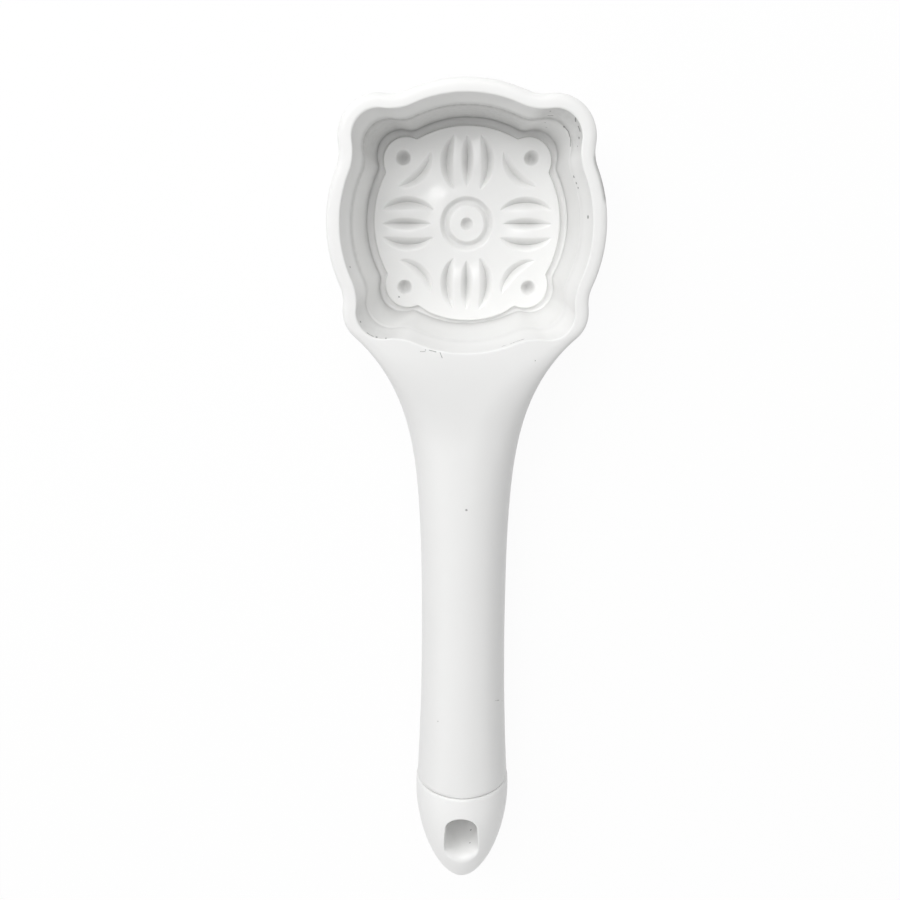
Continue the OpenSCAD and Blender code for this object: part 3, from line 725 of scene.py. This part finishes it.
# Marks of use in millimetres: specks as (x, y, z, radius) and scratches as (from, to, radius)
bodyMarks = dict(
    specks=[
        # soiled corner lobe at the far right, and the crease beside it
        (19.3, 26.3, 27.0, 0.25), (18.7, 24.3, 19.3, 0.3), (19.6, 23.5, 13.2, 0.3), (23.0, 23.1, 23.4, 0.36),
        (26.2, 20.4, 26.9, 0.32), (26.0, 18.6, 26.4, 0.22), (25.7, 11.8, 23.4, 0.34), (26.4, 10.3, 23.5, 0.3),
        (26.9, 9.2, 23.7, 0.3),
        # upper tier, then the near left lobe, then neck and grip
        (29.2, 2.5, 26.2, 0.45), (-28.2, -9.5, 27.1, 0.25), (-25.9, -22.8, 27.6, 0.28),
        (-21.9, -26.5, 28.2, 0.32), (-19.6, -26.8, 28.3, 0.32), (-9.8, -29.5, 28.8, 0.15),
        (17.4, -32.0, 28.8, 0.15), (0.7, -72.4, 26.5, 0.34), (-6.9, -137.1, 24.9, 0.18)],
    scratches=[
        # nicks in the far right lobe's edge and dirt under it
        ((19.0, 25.5, 24.9), (20.1, 25.5, 25.0), 0.14), ((25.1, 24.7, 28.3), (25.2, 24.0, 27.6), 0.22),
        ((25.9, 22.9, 27.6), (26.3, 21.9, 27.7), 0.22), ((23.0, 23.1, 23.4), (24.0, 22.0, 23.6), 0.16),
        ((24.0, 22.0, 23.6), (24.6, 20.2, 23.3), 0.16), ((24.6, 20.2, 23.3), (24.7, 18.8, 23.0), 0.2),
        # nicks and fine cracks on the rim towards the handle, and a nick in the grip
        ((-24.2, -25.5, 28.3), (-22.8, -26.3, 28.3), 0.14), ((-11.1, -29.9, 28.8), (-9.8, -29.9, 28.8), 0.07),
        ((-8.8, -29.5, 28.8), (-7.2, -30.0, 28.8), 0.12), ((-6.2, -30.1, 28.8), (-5.7, -31.5, 28.8), 0.09),
        ((9.1, -28.7, 27.8), (12.6, -27.4, 27.9), 0.08), ((12.6, -27.4, 27.9), (14.6, -26.8, 27.9), 0.08),
        ((9.4, -131.6, 22.4), (10.5, -132.5, 20.8), 0.09),
        ((10.5, -132.5, 20.8), (11.6, -134.1, 18.5), 0.07)],
)
plateMarks = dict(specks=[(-18.0, -19.1, 6.8, 0.26)], scratches=[])
capMarks = dict(specks=[(2.89, -181.39, 15.31, 0.38), (2.61, -181.78, 20.58, 0.28)], scratches=[])


# Finish of all three mouldings, sizes in millimetres
plastic = dict(
    ior=1.49, glossSpread=0.25,                        # roughness varies by this share
    cloudSize=18.0, grainSize=1.2, waveSize=7.0,       # clouds of tone, grain, and sink marks of the moulding
    waveBump=0.25, waveHeight=0.3, grainBump=0.08, grainHeight=0.1,
    dirtAndShadeColour="#8f8f8d", patchFrom=0.3, patchTo=0.7, patchLeast=0.75,    # dirt and painted shade are patchy with the grain
    markColour="#3c3b39", markStrength=0.62, markInner=0.6, markOuter=1.1, ragged=0.4,
)


# Injection-moulded polypropylene: milky white with a soft satin gloss, faintly uneven from the mould, with
# dirt where it can't be wiped out, painted shade in its hollows, and a few dark specks and scratches from use
def whitePolypropylene(name, colour, shade, roughness, marks):
    p = plastic
    material = bpy.data.materials.new(name)
    material.use_nodes = True
    tree = material.node_tree
    tree.nodes.clear()
    out = addNode(tree, "ShaderNodeOutputMaterial")
    place = addNode(tree, "ShaderNodeTexCoord")
    onPiece = {"Vector": (place, "Object")}
    number, vector, spread = "ShaderNodeMath", "ShaderNodeVectorMath", "ShaderNodeMapRange"
    cloud = addNode(tree, "ShaderNodeTexNoise", inputs={
        "Scale": 1 / (p["cloudSize"] * mm), "Detail": 4.0, "Roughness": 0.6}, links=onPiece)
    tone = addNode(tree, "ShaderNodeMix", {"data_type": "RGBA"}, {6: linear(shade), 7: linear(colour)},
                   {0: (cloud, "Fac")})
    # dirt, and painted shade in creases, grooves, the moat, the seam and on the far wall
    grimeAndShade = addNode(tree, "ShaderNodeAttribute", {"attribute_name": "grimeAndShade"})
    grain = addNode(tree, "ShaderNodeTexNoise",
                    inputs={"Scale": 1 / (p["grainSize"] * mm), "Detail": 3.0}, links=onPiece)
    patchy = addNode(tree, spread, inputs={
        "From Min": p["patchFrom"], "From Max": p["patchTo"], "To Min": p["patchLeast"], "To Max": 1.0,
    }, links={"Value": (grain, "Fac")})
    dirtAndShade = addNode(tree, number, {"operation": "MULTIPLY"}, links={0: (grimeAndShade, "Fac"), 1: (patchy, 0)})
    soiledAndShaded = addNode(tree, "ShaderNodeMix", {"data_type": "RGBA"}, {7: linear(p["dirtAndShadeColour"])},
                     {0: (dirtAndShade, 0), 6: (tone, 2)})
    # distance to the nearest mark over its radius, with a ragged edge
    ragged = addNode(tree, vector, {"operation": "MULTIPLY_ADD"}, {1: [p["ragged"] * mm] * 3},
                     {0: (grain, "Color"), 2: (place, "Object")})
    centred = addNode(tree, vector, {"operation": "ADD"}, {1: [-p["ragged"] * mm / 2] * 3}, {0: (ragged, 0)})
    distances = []
    for x, y, z, radius in marks["specks"]:
        away = addNode(tree, vector, {"operation": "DISTANCE"}, {1: (x * mm, y * mm, z * mm)},
                       {0: (centred, 0)})
        distances.append((away, radius))
    for a, b, radius in marks["scratches"]:
        a, b = Vector(a) * mm, Vector(b) * mm
        fromA = addNode(tree, vector, {"operation": "SUBTRACT"}, {1: a}, {0: (centred, 0)})
        dot = addNode(tree, vector, {"operation": "DOT_PRODUCT"}, {1: (b - a) / (b - a).length_squared},
                      {0: (fromA, 0)})
        along = addNode(tree, "ShaderNodeClamp", links={0: (dot, "Value")})
        foot = addNode(tree, vector, {"operation": "SCALE"}, {0: b - a}, {"Scale": (along, 0)})
        away = addNode(tree, vector, {"operation": "DISTANCE"}, links={0: (fromA, 0), 1: (foot, 0)})
        distances.append((away, radius))
    nearest = None
    for away, radius in distances:
        share = addNode(tree, number, {"operation": "DIVIDE"}, {1: radius * mm}, {0: (away, "Value")})
        if nearest:
            share = addNode(tree, number, {"operation": "MINIMUM"}, links={0: (nearest, 0), 1: (share, 0)})
        nearest = share
    mark = addNode(tree, spread, inputs={
        "From Min": p["markInner"], "From Max": p["markOuter"], "To Min": p["markStrength"], "To Max": 0.0,
    }, links={"Value": (nearest, 0)})
    marked = addNode(tree, "ShaderNodeMix", {"data_type": "RGBA"}, {7: linear(p["markColour"])},
                     {0: (mark, 0), 6: (soiledAndShaded, 2)})
    gloss = addNode(tree, spread, inputs={
        "To Min": (1 - p["glossSpread"]) * roughness, "To Max": (1 + p["glossSpread"]) * roughness,
    }, links={"Value": (grain, "Fac")})
    wave = addNode(tree, "ShaderNodeTexNoise",
                   inputs={"Scale": 1 / (p["waveSize"] * mm), "Detail": 1.0}, links=onPiece)
    slow = addNode(tree, "ShaderNodeBump", inputs={
        "Strength": p["waveBump"], "Distance": p["waveHeight"] * mm}, links={"Height": (wave, "Fac")})
    bump = addNode(tree, "ShaderNodeBump", inputs={
        "Strength": p["grainBump"], "Distance": p["grainHeight"] * mm,
    }, links={"Height": (grain, "Fac"), "Normal": (slow, 0)})
    shader = addNode(tree, "ShaderNodeBsdfPrincipled", inputs={"IOR": p["ior"]},
                     links={"Base Color": (marked, 2), "Roughness": (gloss, 0), "Normal": (bump, 0)})
    tree.links.new(shader.outputs[0], out.inputs[0])
    return material


for piece, name, colour, shade, roughness, marks in (
        (body, "mouldedPolypropylene", "#f4f4f3", "#f1f1f0", 0.34, bodyMarks),
        (plate, "engravedPolypropylene", "#f4f4f3", "#f1f1f0", 0.1, plateMarks),
        (cap, "cappedPolypropylene", "#f9f9f8", "#f7f7f6", 0.34, capMarks)):
    piece.data.materials.append(whitePolypropylene(name, colour, shade, roughness, marks))
print("materials done")


# Stage: floor, lights and camera

# 1 for rays from the camera, in reflections and through glass, which show the white backdrop
def seenDirectly(tree):
    path = addNode(tree, "ShaderNodeLightPath")
    mirror = addNode(tree, "ShaderNodeMath", {"operation": "MAXIMUM"},
                     links={0: (path, "Is Glossy Ray"), 1: (path, "Is Transmission Ray")})
    return addNode(tree, "ShaderNodeMath", {"operation": "MAXIMUM"},
                   links={0: (path, "Is Camera Ray"), 1: (mirror, 0)})


# White paper, half its size in metres: it glows in most of what is seen of it and bounces less light
paperFloor = dict(half=3.0, seenColour="#ffffff", bounceColour="#cbcbcb", glow=0.94)


def buildFloor():
    f = paperFloor
    mesh = bpy.data.meshes.new("floor")
    corners = [(x * f["half"], y * f["half"], 0) for x, y in ((-1, -1), (1, -1), (1, 1), (-1, 1))]
    mesh.from_pydata(corners, [], [(0, 1, 2, 3)])
    floor = bpy.data.objects.new("floor", mesh)
    bpy.context.scene.collection.objects.link(floor)
    material = bpy.data.materials.new("whitePaper")
    material.use_nodes = True
    tree = material.node_tree
    tree.nodes.clear()
    out = addNode(tree, "ShaderNodeOutputMaterial")
    glow = addNode(tree, "ShaderNodeEmission", inputs={"Color": (1, 1, 1, 1), "Strength": 1.0})
    seen = seenDirectly(tree)
    tone = addNode(tree, "ShaderNodeMix", {"data_type": "RGBA"},
                   {6: linear(f["bounceColour"]), 7: linear(f["seenColour"])}, {0: (seen, 0)})
    paper = addNode(tree, "ShaderNodeBsdfDiffuse", links={"Color": (tone, 2)})
    share = addNode(tree, "ShaderNodeMath", {"operation": "MULTIPLY"}, {1: f["glow"]}, {0: (seen, 0)})
    blend = addNode(tree, "ShaderNodeMixShader", links={0: (share, 0), 1: (paper, 0), 2: (glow, 0)})
    tree.links.new(blend.outputs[0], out.inputs[0])
    floor.data.materials.append(material)


lights = dict(
    sky=0.28, distance=1.0,
    # lamps as (tilt from straight above, direction round the part, size, watts): a tall window from the upper
    # left, weak fill from all round and one small bulb overhead that gives the glints
    lamps=[(42, 135, 0.5, 2.55), (22, 90, 0.5, 1.5), (22, 135, 0.5, 1.2), (42, 90, 0.5, 1.0),
           (62, 135, 0.5, 0.9), (62, 180, 0.5, 0.68), (62, 90, 0.5, 0.63), (62, 315, 0.5, 0.55),
           (62, 225, 0.5, 0.5), (62, 45, 0.5, 0.33), (2.8, 186, 0.02, 0.03)],
    # small softbox near the handle's end that fills the cap's nose
    endFill=dict(place=(0.0, -0.45, 0.22), aim=(0.0, -0.18, 0.015), size=0.2, watts=0.135),
)


def addLamp(name, place, aim, size, watts):
    lamp = bpy.data.lights.new(name, "AREA")
    lamp.shape, lamp.size, lamp.energy = "SQUARE", size, watts
    obj = bpy.data.objects.new(name, lamp)
    obj.location = place
    obj.rotation_euler = (place - aim).to_track_quat("Z", "Y").to_euler()
    bpy.context.scene.collection.objects.link(obj)


def buildLights():
    world = bpy.data.worlds.new("studio")
    world.use_nodes = True
    tree = world.node_tree
    tree.nodes.clear()
    out = addNode(tree, "ShaderNodeOutputWorld")
    level = addNode(tree, "ShaderNodeMapRange", inputs={"To Min": lights["sky"], "To Max": 1.0},
                    links={"Value": (seenDirectly(tree), 0)})
    sky = addNode(tree, "ShaderNodeBackground", inputs={"Color": (1, 1, 1, 1)},
                  links={"Strength": (level, 0)})
    tree.links.new(sky.outputs[0], out.inputs[0])
    bpy.context.scene.world = world
    for tilt, turn, size, watts in lights["lamps"]:
        t, a = math.radians(tilt), math.radians(turn)
        direction = Vector((math.sin(t) * math.cos(a), math.sin(t) * math.sin(a), math.cos(t)))
        addLamp("softbox%d_%d" % (tilt, turn), direction * lights["distance"], Vector(), size, watts)
    fill = lights["endFill"]
    addLamp("endFill", Vector(fill["place"]), Vector(fill["aim"]), fill["size"], fill["watts"])


# place in millimetres, directions of the picture's right and down, focal length in pixels of the photograph
cameraView = dict(
    place=(1.97, 9.9, 251.62), right=(0.99965, 0.00327, -0.02606), down=(0.0072, -0.9598, 0.2806),
    focalPx=908.0, imagePx=900.0, sensor=36.0,
)


def buildCamera():
    v = cameraView
    right = np.array(v["right"]) / np.linalg.norm(v["right"])
    up = -np.array(v["down"])
    up = up - right * (up @ right)
    up = up / np.linalg.norm(up)
    back = np.cross(right, up)
    camera = bpy.data.objects.new("camera", bpy.data.cameras.new("camera"))
    camera.data.sensor_width = v["sensor"]
    camera.data.lens = v["sensor"] * v["focalPx"] / v["imagePx"]
    camera.data.clip_start = 0.01
    matrix = Matrix(np.column_stack([right, up, back]).tolist()).to_4x4()
    matrix.translation = np.array(v["place"]) * mm
    camera.matrix_world = matrix
    bpy.context.scene.collection.objects.link(camera)
    bpy.context.scene.camera = camera


buildFloor()
buildLights()
buildCamera()
bpy.context.scene.view_settings.view_transform = "Standard"
print("stage done")
